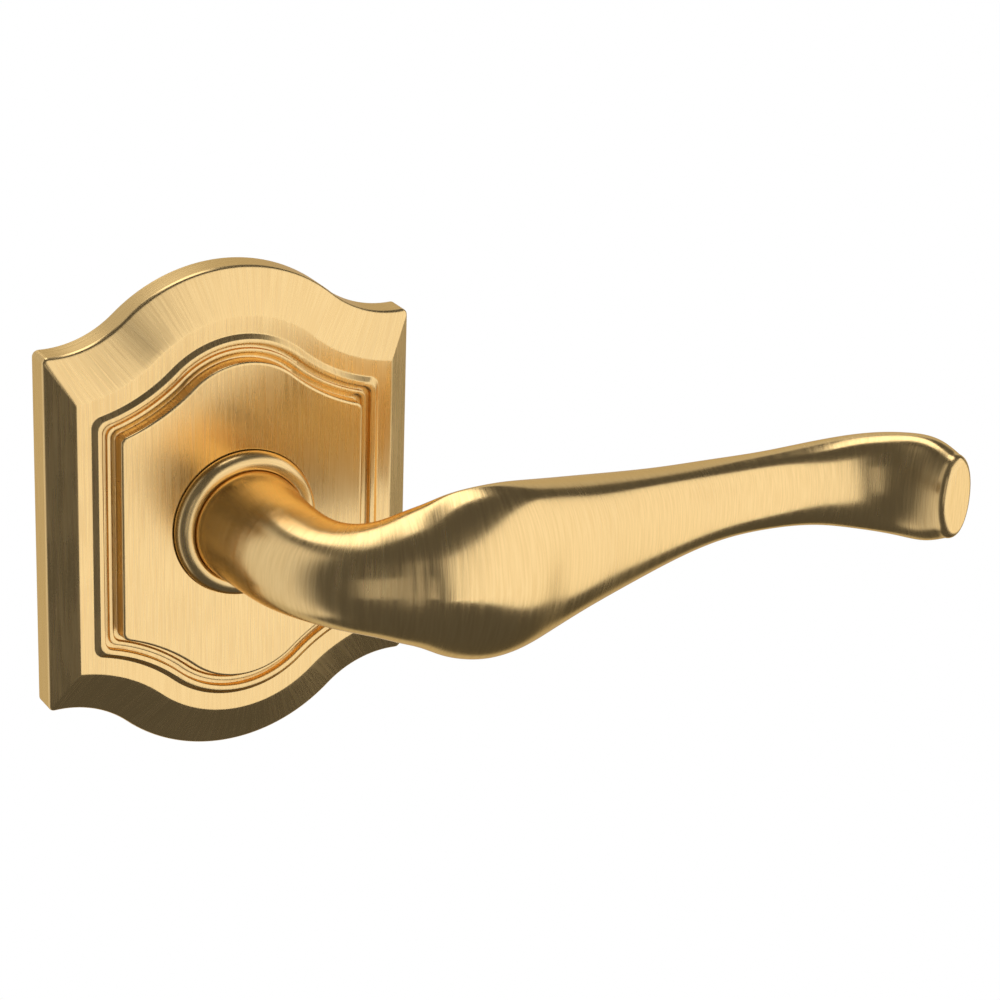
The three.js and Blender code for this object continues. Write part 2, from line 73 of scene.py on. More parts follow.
RIM_OUT = 4.6  # where the bevel would meet the side if its edge were sharp
RIM_ROUNDING = 0.8
RIM_CORNER = 1.1
FOOT_OUT = 0.3
EDGE = {"below": 0.5, "above": 0.35, "steps": 11, "corner_loss": 0.3}  # the rings round the rim's edge
LAND_OUT = 8.1
BEVEL_INSET = {"side": 4.48, "top": 7.55}
BEVEL_SHARES = (0.2, 0.45, 0.7, 0.9)
UPRIGHT_RINGS = 6  # how many of the edge's last rings carry the bevel's brush lines
BEVEL_STRETCH = 2.2  # slope length for each millimetre out
BEVEL_CORNERS = (0.8, 0.35)  # corner radius at the bevel's start and end

# From the bevel's end to the moulding: inset from the side, from the crown, out, corner radius.
LAND = [
    (4.5, 7.55, 8.06, 0.34),
    (4.62, 7.72, 8.09, 0.32),
    (4.8, 7.95, 8.1, 0.3),
    (5.8, 9.2, 8.1, 1.2),
    (6.95, 10.7, 8.1, 2.0),
]

# The moulding's lines, from a first rise over two square grooves to the wall of the panel: inset
# from the side, and out.
MOULDING = [
    *[(7.08, 8.12), (7.14, 8.16), (7.2, 8.22), (7.84, 8.82), (7.9, 8.87), (7.98, 8.9)],
    *[(8.56, 8.9), (8.66, 8.88), (8.75, 8.82), (8.81, 8.74), (8.84, 8.62), (8.84, 8.0)],
    *[(8.88, 7.93), (8.96, 7.9), (9.48, 7.9), (9.57, 7.93), (9.61, 8.0), (9.61, 8.5)],
    *[(9.64, 8.57), (9.7, 8.6), (10.16, 8.6), (10.28, 8.57), (10.38, 8.5), (10.45, 8.38)],
    *[(10.47, 8.2), (10.5, 8.12), (10.58, 8.08), (11.14, 8.08), (11.22, 8.12)],
    *[(11.25, 8.2), (11.27, 10.3)],
]
PANEL_ARC = {"insets": (11.28, 11.82), "out": 10.36, "steps": 7}  # the panel's rounded edge
MOULDING_CORNERS = {"inset": [7.08, 9.8, 11.8], "radius": [2.0, 1.7, 1.3]}
CROWN_MARGIN = 3.75  # the inner lines keep this much more margin at the crown than at the sides
PANEL_OUT = 10.8

HOLE_RADIUS = 12.98
HOLE_EDGE = 0.25  # the hole's rounded edge, which passes HOLE_CHAMFER inside its corner
HOLE_CHAMFER = 0.07
CASSETTE_SEAT = {"radius": 19.55, "out": 8.95}
BEVEL_CAVITY = {"side": 5.6, "top": 8.2, "out": 6.2}
RIM_CAVITY = {"inset": 2.4, "out": 3.2}
CAVITY_CORNER = 1.0

COLLAR = {
    "radius": 12.9,
    "bore": 10.03,
    "wall_out": 11.2,
    "front": 13.3,
    "crest": 10.5,
    "flange": 15.3,
    "flange_front": 8.85,
    "flange_back": 7.85,
}

# The lever's stations: along the door, out from it, half height, half thickness, squareness.
LEVER = [
    (0.00, 12.60, 10.00, 10.00, 2.00),
    (0.00, 19.00, 9.60, 9.40, 2.00),
    (0.30, 26.90, 9.25, 8.90, 2.00),
    (2.30, 34.77, 8.46, 8.73, 2.12),
    (7.00, 40.85, 8.96, 8.54, 2.13),
    (10.00, 42.63, 9.86, 8.49, 2.00),
    (13.00, 43.75, 11.00, 8.83, 1.92),
    (16.50, 44.60, 12.35, 9.46, 1.77),
    (20.00, 45.63, 14.05, 9.81, 1.59),
    (23.50, 46.57, 15.05, 9.77, 1.55),
    (27.50, 47.09, 15.42, 9.49, 1.62),
    (36.00, 45.37, 14.12, 7.69, 2.16),
    (46.00, 42.19, 11.95, 7.39, 2.30),
    (57.00, 39.38, 9.98, 6.34, 2.44),
    (68.00, 36.74, 8.34, 5.35, 2.49),
    (79.00, 34.68, 7.27, 4.83, 2.46),
    (90.00, 34.30, 7.10, 4.50, 2.30),
    (101.00, 35.15, 7.87, 5.30, 2.10),
    (107.20, 37.25, 8.80, 5.10, 2.10),
    (113.60, 41.70, 9.60, 5.00, 2.10),
    (117.00, 46.60, 9.35, 4.70, 2.10),
    (118.30, 49.90, 7.90, 4.30, 2.05),
]
TIP_NORMAL = (0.33, -1.0)  # the way the flat end of the tip faces, in plan
TIP_ROUNDING = 1.7
TIP_STEPS = 8  # rings round the tip's rounded edge
TIP_SHRINK = (1, 0.85, 0)  # how much of the rounding each of a ring's sizes loses
LEVER_RINGS = 280
BRUSH_RADIUS = 8.0  # turns the angle round the lever into a length for the brush map
LEVER_SIDES = 112
SHANK = {"radius": 8.6, "end": 1.2, "half_flat": 7.6, "flat_from": 6.2, "chamfer": 0.4}
GROOVE = {"radius": 7.5, "front": 3.4, "back": 2.4}
SOCKET = {"side": 8.3, "deep": 21.0}
SET_SCREW = {"hole": 2.6, "at": 16.5}
DRILL_SIDES = 48
CUT_REACH = 12  # how far cutters go sideways and down, clear of the neck
CUT_PAST = 1  # how far cutters go past the shank's end
FLAT_CUT = 4
ROSE_SCREW_SIDES = 40
ROSE_SCREW_DEEP = 5
DRILL_PAST = 1

# A return spring: a coil wound along an arc about the spindle axis, in degrees from the lever
# side. Its first end bears on the hub and its last end on the cassette's fixed stop.
SPRING = {"arc": 15.0, "coil": 1.15, "wire": 0.45, "turns": 16, "first": 101, "last": 257, "out": 5.025}
SPRING_STEPS = 320
WIRE_SIDES = 10

# ---- Finishes ---------------------------------------------------------------------------------

BRASS_DARK = (0.89, 0.615, 0.275, 1)
BRASS_LIGHT = (0.95, 0.675, 0.315, 1)
BRASS_EDGE_TINT = (0.95, 0.78, 0.5, 1)  # the reflection's colour where the surface turns away

# Width and length of the coarse and fine brush lines, in millimetres; the depth of a scratch,
# also in millimetres; and how far a highlight spreads across the lines.
BRASS = {
    "rosette": {
        "coarse": (0.5, 16.0),
        "fine": (0.25, 8.0),
        "roughness": 0.27,
        "scratch": 0.005,
        "stretch": 0.35,
    },
    "collar": {
        "coarse": (0.5, 12.0),
        "fine": (0.25, 6.0),
        "roughness": 0.25,
        "scratch": 0.003,
        "stretch": 0.4,
    },
    "lever": {
        "coarse": (0.5, 9.0),
        "fine": (0.3, 5.0),
        "roughness": 0.22,
        "scratch": 0.013,
        "stretch": 0.5,
    },
}

# The inner works' metals and nylon, and the record's material slots that each one is for. Grain
# and relief are the mottle's size and depth in millimetres.
INNER_FINISHES = {
    "zinc_plated_steel": {
        "slots": ("screw_steel", "spindle_steel", "post_steel"),
        "look": {
            "dark": (0.52, 0.53, 0.55, 1),
            "light": (0.68, 0.69, 0.7, 1),
            "roughness": 0.34,
            "metallic": 1.0,
            "grain": 0.5,
            "relief": 0.01,
        },
    },
    "rolled_steel": {
        "slots": ("plate_steel",),
        "look": {
            "dark": (0.5, 0.5, 0.5, 1),
            "light": (0.63, 0.63, 0.62, 1),
            "roughness": 0.38,
            "metallic": 1.0,
            "grain": 0.8,
            "relief": 0.012,
        },
    },
    "spring_steel": {
        "slots": ("spring_steel",),
        "look": {
            "dark": (0.1, 0.1, 0.11, 1),
            "light": (0.17, 0.17, 0.18, 1),
            "roughness": 0.3,
            "metallic": 1.0,
            "grain": 0.3,
            "relief": 0.004,
        },
    },
    "die_cast_zinc": {
        "slots": ("zinc",),
        "look": {
            "dark": (0.36, 0.37, 0.38, 1),
            "light": (0.48, 0.48, 0.49, 1),
            "roughness": 0.5,
            "metallic": 1.0,
            "grain": 0.4,
            "relief": 0.02,
        },
    },
    "nylon": {
        "slots": ("nylon",),
        "look": {
            "dark": (0.72, 0.69, 0.6, 1),
            "light": (0.82, 0.79, 0.72, 1),
            "roughness": 0.5,
            "metallic": 0.0,
            "grain": 0.6,
            "relief": 0.01,
        },
    },
}

# ---- Studio -----------------------------------------------------------------------------------

# What the brass reflects: azimuth from the room side towards +X, elevation, half width, half
# height (all degrees), brightness and the softness of the edge.
STUDIO_BASE = 0.108
STUDIO_PANELS = [
    {"at": (180, -8), "half": (66, 60), "value": 0.7, "edge": 0.35},
    {"at": (-112, -6), "half": (28, 60), "value": 0.92, "edge": 0.3},
    {"at": (-28.5, -5), "half": (5.5, 17), "value": 0.75, "edge": 0.02},
    {"at": (107, -15), "half": (9, 22), "value": 0.42, "edge": 0.1},
    {"at": (40, 0), "half": (50, 43), "value": 1.29, "edge": 0.04},
    {"at": (0, 112.75), "half": (13.5, 29.75), "value": 2.2, "edge": 0.05},
]
STUDIO_GREY = (0.8, 0.8, 0.8, 1)  # the colour that each panel's brightness multiplies
BACKDROP = 1.0  # what the camera sees behind the object

CAMERA = {
    "azimuth": 28.75,
    "elevation": 21.613,
    "roll": 1.828,
    "distance": 589.833,
    "right": 48.49,
    "up": 0.03,
    "lens": 123.297,
}
FLOOR = {"half": 3.0, "z": -0.15}


# ---- Node graphs --------------------------------------------------------------------------------


class Graph:
    """Adds nodes to one node tree and joins them up."""

    def __init__(self, tree):
        self.tree = tree
        tree.nodes.clear()

    def node(self, kind, inputs=None, **settings):
        made = self.tree.nodes.new(kind)
        for name, value in settings.items():
            setattr(made, name, value)
        for socket, value in (inputs or {}).items():
            self.feed(made.inputs[socket], value)
        return made

    def feed(self, socket, value):
        if isinstance(value, bpy.types.NodeSocket):
            self.tree.links.new(value, socket)
        else:
            socket.default_value = value

    def math(self, operation, *values):
        return self.node("ShaderNodeMath", dict(enumerate(values)), operation=operation).outputs[0]

    def dot(self, vector, axis):
        inputs = {0: vector, 1: axis}
        return self.node("ShaderNodeVectorMath", inputs, operation="DOT_PRODUCT").outputs["Value"]

    def mix(self, factor, low, high):
        inputs = {"Factor": factor, "A": low, "B": high}
        return self.node("ShaderNodeMix", inputs, data_type="FLOAT").outputs["Result"]

    def mix_colour(self, factor, low, high):
        inputs = {0: factor, 6: low, 7: high}
        return self.node("ShaderNodeMix", inputs, data_type="RGBA").outputs[2]

    def ramp(self, value, start, end, low=0.0, high=1.0, shape="SMOOTHSTEP"):
        inputs = {"Value": value, "From Min": start, "From Max": end, "To Min": low, "To Max": high}
        return self.node("ShaderNodeMapRange", inputs, interpolation_type=shape).outputs["Result"]

    def noise(self, vector, scale=1.0, detail=2.0, roughness=0.5):
        inputs = {"Vector": vector, "Scale": scale, "Detail": detail, "Roughness": roughness}
        return self.node("ShaderNodeTexNoise", inputs).outputs["Fac"]

    def stretched(self, vector, across, along, offset=0.0):
        """A vector scaled so that noise is `across` wide and `along` long, in its own units."""
        inputs = {"Vector": vector, "Location": (offset, offset, 0), "Scale": (1 / across, 1 / along, 1)}
        return self.node("ShaderNodeMapping", inputs).outputs["Vector"]


# ---- Studio light -------------------------------------------------------------------------------


def seen_panel(graph, direction, at, half, edge):
    """How much of a soft-edged rectangle is seen in a direction, 0 to 1."""
    azimuth, elevation = (math.radians(angle) for angle in at)
    normal = (
        math.sin(azimuth) * math.cos(elevation),
        -math.cos(azimuth) * math.cos(elevation),
        math.sin(elevation),
    )
    right = (math.cos(azimuth), math.sin(azimuth), 0)
    up = (
        -math.sin(azimuth) * math.sin(elevation),
        math.cos(azimuth) * math.sin(elevation),
        math.cos(elevation),
    )
    facing = graph.dot(direction, normal)
    mask = graph.math("GREATER_THAN", facing, 0.02)
    for axis, angle in zip((right, up), half):
        size = math.tan(math.radians(angle))
        place = graph.math("ABSOLUTE", graph.math("DIVIDE", graph.dot(direction, axis), facing))
        inside = graph.ramp(place, size - edge, size + edge, 1.0, 0.0)
        mask = graph.math("MULTIPLY", mask, inside)
    return mask


def light_studio():
    world = bpy.data.worlds.new("studio")
    bpy.context.scene.world = world
    world.use_nodes = True
    graph = Graph(world.node_tree)
    direction = graph.node("ShaderNodeTexCoord").outputs["Generated"]
    value = STUDIO_BASE
    for panel in STUDIO_PANELS:
        mask = seen_panel(graph, direction, panel["at"], panel["half"], panel["edge"])
        value = graph.mix(mask, value, panel["value"])
    to_camera = graph.node("ShaderNodeLightPath").outputs["Is Camera Ray"]
    shown = graph.mix(to_camera, value, BACKDROP / STUDIO_GREY[0])
    background = graph.node("ShaderNodeBackground", {"Color": STUDIO_GREY, "Strength": shown})
    graph.node("ShaderNodeOutputWorld", {"Surface": background.outputs[0]})


def lay_floor():
    half = FLOOR["half"]
    corners = [(-half, -half), (half, -half), (half, half), (-half, half)]
    mesh = bpy.data.meshes.new("floor")
    mesh.from_pydata([(x, y, FLOOR["z"]) for x, y in corners], [], [(0, 1, 2, 3)])
    floor = bpy.data.objects.new("floor", mesh)
    bpy.context.scene.collection.objects.link(floor)
    material = bpy.data.materials.new("white_floor")
    material.use_nodes = True
    graph = Graph(material.node_tree)
    glow = graph.node("ShaderNodeEmission", {"Color": (1, 1, 1, 1), "Strength": BACKDROP})
    graph.node("ShaderNodeOutputMaterial", {"Surface": glow.outputs[0]})
    mesh.materials.append(material)
    floor.visible_diffuse = False
    floor.visible_glossy = False
    floor.visible_shadow = False


def place_camera():
    azimuth, elevation, roll = (
        math.radians(CAMERA[name]) for name in ("azimuth", "elevation", "roll")
    )
    back = Vector(
        (
            -math.sin(azimuth) * math.cos(elevation),
            -math.cos(azimuth) * math.cos(elevation),
            math.sin(elevation),
        )
    )
    level = Vector((math.cos(azimuth), -math.sin(azimuth), 0))
    upright = level.cross(-back)
    right = math.cos(roll) * level + math.sin(roll) * upright
    up = math.cos(roll) * upright - math.sin(roll) * level
    place = (back * CAMERA["distance"] + right * CAMERA["right"] + up * CAMERA["up"]) * MM
    data = bpy.data.cameras.new("camera")
    data.lens = CAMERA["lens"]
    data.sensor_width = 36
    data.clip_start = 0.01
    camera = bpy.data.objects.new("camera", data)
    bpy.context.scene.collection.objects.link(camera)
    camera.matrix_world = Matrix.Translation(place) @ Matrix((right, up, back)).transposed().to_4x4()
    bpy.context.scene.camera = camera
    bpy.context.scene.view_settings.view_transform = "Standard"


# ---- Materials ----------------------------------------------------------------------------------


def material_graph(name):
    material = bpy.data.materials.new(name)
    material.use_nodes = True
    return material, Graph(material.node_tree)


def brushed_brass(name, coarse, fine, roughness, scratch, stretch):
    """Satin brass: fine lines that run along V of the brush map, with U across them.

    coarse and fine are the (width, length) of the two sizes of brush line, in millimetres;
    stretch is how far a highlight spreads across the lines.
    """
    material, graph = material_graph(name)
    brush = graph.node("ShaderNodeUVMap", uv_map="brush").outputs["UV"]
    wide = graph.noise(graph.stretched(brush, *coarse), detail=1.5)
    narrow = graph.noise(graph.stretched(brush, *fine, offset=7.3), detail=2.0)
    place = graph.node("ShaderNodeTexCoord").outputs["Object"]
    patch = graph.noise(place, scale=70.0, detail=3.0)
    relief = graph.mix(0.5, wide, narrow)
    bump = graph.node(
        "ShaderNodeBump", {"Strength": 1.0, "Distance": scratch * MM, "Height": relief}
    )
    tone = graph.ramp(narrow, 0.3, 0.7)
    colour = graph.mix_colour(tone, BRASS_DARK, BRASS_LIGHT)
    worn = graph.ramp(patch, 0.35, 0.7, -0.02, 0.03)
    streak = graph.ramp(wide, 0.3, 0.7, -0.035, 0.035)
    gloss = graph.math("ADD", graph.math("ADD", worn, streak), roughness)
    tangent = graph.node("ShaderNodeTangent", direction_type="UV_MAP", uv_map="brush")
    shader = graph.node(
        "ShaderNodeBsdfPrincipled",
        {
            "Base Color": colour,
            "Metallic": 1.0,
            "Roughness": gloss,
            "Anisotropic": stretch,
            "Specular Tint": BRASS_EDGE_TINT,
            "Tangent": tangent.outputs[0],
            "Normal": bump.outputs[0],
        },
    )
    graph.node("ShaderNodeOutputMaterial", {"Surface": shader.outputs[0]})
    return material


def speckled(name, dark, light, roughness, metallic, grain, relief):
    """Cast, rolled or moulded stock: a fine mottle of two colours with a matching texture."""
    material, graph = material_graph(name)
    place = graph.node("ShaderNodeTexCoord").outputs["Object"]
    fine = graph.noise(place, scale=1 / (grain * MM), detail=4.0, roughness=0.6)
    broad = graph.noise(place, scale=1 / (grain * 20 * MM), detail=2.0)
    colour = graph.mix_colour(graph.mix(0.4, fine, broad), dark, light)
    gloss = graph.ramp(fine, 0.3, 0.7, roughness - 0.06, roughness + 0.06)
    bump = graph.node(
        "ShaderNodeBump", {"Strength": 0.6, "Distance": relief * MM, "Height": fine}
    )
    shader = graph.node(
        "ShaderNodeBsdfPrincipled",
        {
            "Base Color": colour,
            "Metallic": metallic,
            "Roughness": gloss,
            "Normal": bump.outputs[0],
        },
    )
    graph.node("ShaderNodeOutputMaterial", {"Surface": shader.outputs[0]})
    return material


# ---- Mesh helpers -------------------------------------------------------------------------------


def grid_faces(rings, count, loop_rings=False):
    """Quads between rings of `count` points each; the last ring may join the first."""
    ring = np.arange(rings if loop_rings else rings - 1)[:, None]
    step = np.arange(count)[None, :]
    near = ring * count
    far = ((ring + 1) % rings) * count
    onward = (step + 1) % count
    corners = [near + step, near + onward, far + onward, far + step]
    return np.stack(corners, axis=-1).reshape(-1, 4)


def mesh_piece(name, points, faces, material, brush=None, crease=35):
    """An object from points in millimetres, with a brush map given for each face corner."""
    mesh = bpy.data.meshes.new(name)
    mesh.from_pydata((np.asarray(points) * MM).tolist(), [], [list(face) for face in faces])
    if brush is not None:
        layer = mesh.uv_layers.new(name="brush")
        layer.data.foreach_set("uv", np.asarray(brush, np.float32).reshape(-1))
    mesh.polygons.foreach_set("use_smooth", [True] * len(mesh.polygons))
    mesh.set_sharp_from_angle(angle=math.radians(crease))
    mesh.materials.append(material)
    made = bpy.data.objects.new(name, mesh)
    bpy.context.scene.collection.objects.link(made)
    return made


def face_outwards(piece):
    """Turns a closed piece's faces to point out of it."""
    work = bmesh.new()
    work.from_mesh(piece.data)
    bmesh.ops.recalc_face_normals(work, faces=work.faces)
    work.to_mesh(piece.data)
    work.free()


def turned_points(profile, steps):
    """Rings about the spindle axis from (radius, out) pairs."""
    angle = 2 * np.pi * np.arange(steps) / steps
    rings = [
        np.stack([radius * np.cos(angle), np.full(steps, -out), radius * np.sin(angle)], axis=1)
        for radius, out in profile
    ]
    return np.concatenate(rings)


def turned_brush(profile, steps, radius):
    """Brush lines that run round the axis; they mirror at the seam so that it doesn't show."""
    profile = np.asarray(profile)
    closed = np.concatenate([profile, profile[:1]])
    travel = np.concatenate([[0], np.cumsum(np.hypot(*np.diff(closed, axis=0).T))])
    angle = 2 * np.pi * np.arange(steps + 1) / steps
    around = np.minimum(angle, 2 * np.pi - angle) * radius
    corners = []
    for near, far in zip(travel[:-1], travel[1:]):
        for start, end in zip(around[:-1], around[1:]):
            corners += [(near, start), (near, end), (far, end), (far, start)]
    return corners


def drill_cutter(name, radius, out, heights, sides, material):
    """A round bar along Z, between two heights, at the given distance out from the door."""
    angle = 2 * np.pi * np.arange(sides) / sides
    ring = np.stack([radius * np.cos(angle), radius * np.sin(angle) - out], axis=1)
    points = np.concatenate([np.insert(ring, 2, height, axis=1) for height in heights])
    ends = [list(range(sides)), list(range(sides, 2 * sides))]
    cutter = mesh_piece(name, points, [*grid_faces(2, sides).tolist(), *ends], material)
    face_outwards(cutter)
    return cutter


def cut(piece, *cutters):
    """Takes the cutters' solids out of a piece."""
    for cutter in cutters:
        modifier = piece.modifiers.new("cut", "BOOLEAN")
        modifier.operation = "DIFFERENCE"
        modifier.solver = "EXACT"
        modifier.object = cutter
    graph = bpy.context.evaluated_depsgraph_get()
    result = bpy.data.meshes.new_from_object(piece.evaluated_get(graph))
    piece.modifiers.clear()
    piece.data = result
    for cutter in cutters:
        bpy.data.objects.remove(cutter)


def weigh_normals(piece):
    """Keeps flats looking flat between their rounded edges."""
    modifier = piece.modifiers.new("even_shading", "WEIGHTED_NORMAL")
    modifier.keep_sharp = True
    modifier.weight = 100


# ---- Rosette ------------------------------------------------------------------------------------


def quarter_outline(side, top, corner):
    """From the apex to the middle of the right side: crown arc, shoulder arc, corner, side."""
    crown_centre = np.array([0, PLATE["apex"] - PLATE["crown_radius"]])
    crown = PLATE["crown_radius"] - top
    shoulder = PLATE["shoulder_radius"] + top
    away = np.array([math.sin(PLATE["crown_angle"]), math.cos(PLATE["crown_angle"])])
    shoulder_centre = crown_centre + away * (PLATE["crown_radius"] + PLATE["shoulder_radius"])
    corner_x = PLATE["half_width"] - side - corner
    reach = shoulder + corner
    run = corner_x - shoulder_centre[0]
    corner_centre = np.array([corner_x, shoulder_centre[1] - math.sqrt(reach**2 - run**2)])
    shoulder_end = math.atan2(-run, shoulder_centre[1] - corner_centre[1])
    points = []
    for share in np.arange(OUTLINE_STEPS["crown"]) / OUTLINE_STEPS["crown"]:
        angle = PLATE["crown_angle"] * share
        points.append(crown_centre + crown * np.array([math.sin(angle), math.cos(angle)]))
    for share in np.arange(OUTLINE_STEPS["shoulder"]) / OUTLINE_STEPS["shoulder"]:
        angle = PLATE["crown_angle"] + (shoulder_end - PLATE["crown_angle"]) * share
        points.append(shoulder_centre - shoulder * np.array([math.sin(angle), math.cos(angle)]))
    for share in np.arange(OUTLINE_STEPS["corner"]) / OUTLINE_STEPS["corner"]:
        angle = (math.pi / 2 - shoulder_end) * (1 - share)
        points.append(corner_centre + corner * np.array([math.cos(angle), math.sin(angle)]))
    edge = PLATE["half_width"] - side
    for share in np.arange(OUTLINE_STEPS["side"] + 1) / OUTLINE_STEPS["side"]:
        points.append(np.array([edge, corner_centre[1] * (1 - share)]))
    return np.array(points)


def whole_outline(side, top, corner):
    """The outline mirrored from its quarter, clockwise from the apex as seen from the room."""
    quarter = quarter_outline(side, top, corner)
    right = np.concatenate([quarter, (quarter[:-1] * [1, -1])[::-1]])
    left = (right[1:-1] * [-1, 1])[::-1]
    return np.concatenate([right, left])


def arc_rises(insets, outs, steps):
    """Insets and heights along a quarter of an ellipse that starts upright and ends level."""
    made = []
    for share in np.arange(1, steps + 1) / steps:
        angle = share * math.pi / 2
        inset = insets[0] + (insets[1] - insets[0]) * (1 - math.cos(angle))
        made.append((inset, outs[0] + (outs[1] - outs[0]) * math.sin(angle)))
    return made


def edge_profile():
    """The upright rim, its rounded edge and the bevel, as rows like those of LAND."""
    rows = [(0.0, 0.0, out, RIM_CORNER) for out in (0.0, FOOT_OUT)]
    rise = LAND_OUT - RIM_OUT
    slopes = [rise / BEVEL_INSET[way] for way in ("side", "top")]
    start = RIM_OUT - EDGE["below"]
    for out in np.linspace(start, RIM_OUT + EDGE["above"], EDGE["steps"]):
        insets = []
        for slope in slopes:
            centre = RIM_OUT + RIM_ROUNDING * (slope - math.hypot(1, slope))
            touch = centre + RIM_ROUNDING / math.hypot(1, slope)
            if out < centre:
                insets.append(0.0)
            elif out < touch:
                insets.append(RIM_ROUNDING - math.sqrt(RIM_ROUNDING**2 - (out - centre) ** 2))
            else:
                insets.append((out - RIM_OUT) / slope)
        rows.append((*insets, out, RIM_CORNER - EDGE["corner_loss"] * (out - start)))
    for share in BEVEL_SHARES:
        insets = (BEVEL_INSET["side"] * share, BEVEL_INSET["top"] * share)
        corner = BEVEL_CORNERS[0] + (BEVEL_CORNERS[1] - BEVEL_CORNERS[0]) * share
        rows.append((*insets, RIM_OUT + rise * share, corner))
    return rows


def moulding_profile():
    """The raised lines between the land and the panel, as insets from the side and heights."""
    arc = PANEL_ARC
    return MOULDING + arc_rises(arc["insets"], (arc["out"], PANEL_OUT), arc["steps"])


def rosette_rings():
    """The rosette's rings, out round its front, down its middle hole and back inside it."""
    rows = edge_profile() + LAND
    rings = [(whole_outline(side, top, corner), out) for side, top, out, corner in rows]
    for inset, out in moulding_profile():
        corner = np.interp(inset, MOULDING_CORNERS["inset"], MOULDING_CORNERS["radius"])
        rings.append((whole_outline(inset, inset + CROWN_MARGIN, corner), out))
    panel_edge = rings[-1][0]
    bearing = np.arctan2(panel_edge[:, 1], panel_edge[:, 0])
    circle = np.stack([np.cos(bearing), np.sin(bearing)], axis=1)
    seat = CASSETTE_SEAT
    rings += [
        (circle * (HOLE_RADIUS + HOLE_EDGE), PANEL_OUT),
        (circle * (HOLE_RADIUS + HOLE_CHAMFER), PANEL_OUT - HOLE_CHAMFER),
        (circle * HOLE_RADIUS, PANEL_OUT - HOLE_EDGE),
        (circle * HOLE_RADIUS, seat["out"]),
        (circle * seat["radius"], seat["out"]),
        (circle * seat["radius"], BEVEL_CAVITY["out"]),
    ]
    cavity = whole_outline(BEVEL_CAVITY["side"], BEVEL_CAVITY["top"], CAVITY_CORNER)
    rim_cavity = whole_outline(RIM_CAVITY["inset"], RIM_CAVITY["inset"], CAVITY_CORNER)
    rings += [
        (cavity, BEVEL_CAVITY["out"]),
        (cavity, RIM_CAVITY["out"]),
        (rim_cavity, RIM_CAVITY["out"]),
        (rim_cavity, 0.0),
    ]
    return rings


def rosette_brush(rings, faces):
    """Brush lines: upright on the front, down the slope of the bevels, along the rim."""
    count = len(rings[0][0])
    rows = edge_profile()
    rounding = len(rows) - len(BEVEL_SHARES)
    reference = rings[rounding][0]
    steps = np.hypot(*np.diff(np.concatenate([reference, reference[:1]]), axis=0).T)
    along = np.concatenate([[0], np.cumsum(steps)])
    outs = np.array([out for _, out in rings])
    brush = np.concatenate([outline for outline, _ in rings])[faces]
    quarter = OUTLINE_STEPS["crown"] + OUTLINE_STEPS["shoulder"] + OUTLINE_STEPS["corner"] // 2
    crowns = [*range(quarter), *range(count - quarter, count)]
    crowns += range(count // 2 - quarter, count // 2 + quarter)
    bevel_start = rounding - UPRIGHT_RINGS
    for ring in range(bevel_start, len(rows) + 1):
        low, high = (BEVEL_STRETCH * (outs[ring + i] - RIM_OUT) for i in (0, 1))
        for i in crowns:
            face = brush[ring * count + i]
            face[:, 0] = [along[i], along[i + 1], along[i + 1], along[i]]
            face[:, 1] = [low, low, high, high]
    for ring in range(bevel_start):
        for i in range(count):
            face = brush[ring * count + i]
            face[:, 0] = [outs[ring], outs[ring], outs[ring + 1], outs[ring + 1]]
            face[:, 1] = [along[i], along[i + 1], along[i + 1], along[i]]
    return brush


def make_rosette(material):
    rings = rosette_rings()
    count = len(rings[0][0])
    points = np.concatenate(
        [
            np.stack([outline[:, 0], np.full(count, -out), outline[:, 1]], axis=1)
            for outline, out in rings
        ]
    )
    faces = grid_faces(len(rings), count, loop_rings=True)
    brush = rosette_brush(rings, faces)
    rosette = mesh_piece("rosette_brass", points, faces[:, ::-1], material, brush[:, ::-1])
    heights = (-PLATE["apex"] - DRILL_PAST, -PLATE["apex"] + ROSE_SCREW_DEEP)
    drill = (PLATE["screw_radius"], PLATE["screw_out"], heights, ROSE_SCREW_SIDES, material)
    cut(rosette, drill_cutter("screw_bore", *drill))
    weigh_normals(rosette)
    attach(rosette, "door_trim")
    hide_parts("rosette")


# ---- Collar -------------------------------------------------------------------------------------


def collar_profile():
    """Radius and distance out, from the bore's back over the flange and the rounded front."""
    radius, bore, crest = COLLAR["radius"], COLLAR["bore"], COLLAR["crest"]
    profile = [
        (bore, COLLAR["flange_back"]),
        (COLLAR["flange"], COLLAR["flange_back"]),
        (COLLAR["flange"], COLLAR["flange_front"]),
        (radius, COLLAR["flange_front"]),
    ]
    wall, front = COLLAR["wall_out"], COLLAR["front"]
    for angle in np.radians(np.linspace(0, 90, 25)):
        profile.append(
            (crest + (radius - crest) * math.cos(angle), wall + (front - wall) * math.sin(angle))
        )
    for angle in np.radians([105, 130, 155, 180]):
        profile.append((crest + (crest - bore) * math.cos(angle), front - 0.3 * (1 - math.sin(angle))))
    return profile


def make_collar(material):
    profile = collar_profile()
    steps = 200
    faces = grid_faces(len(profile), steps, loop_rings=True)
    brush = np.asarray(turned_brush(profile, steps, COLLAR["radius"])).reshape(-1, 4, 2)
    collar = mesh_piece("collar_brass", turned_points(profile, steps), faces, material, brush, crease=50)
    face_outwards(collar)
    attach(collar, "door_trim")
    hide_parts("rose_collar")


# ---- Lever --------------------------------------------------------------------------------------


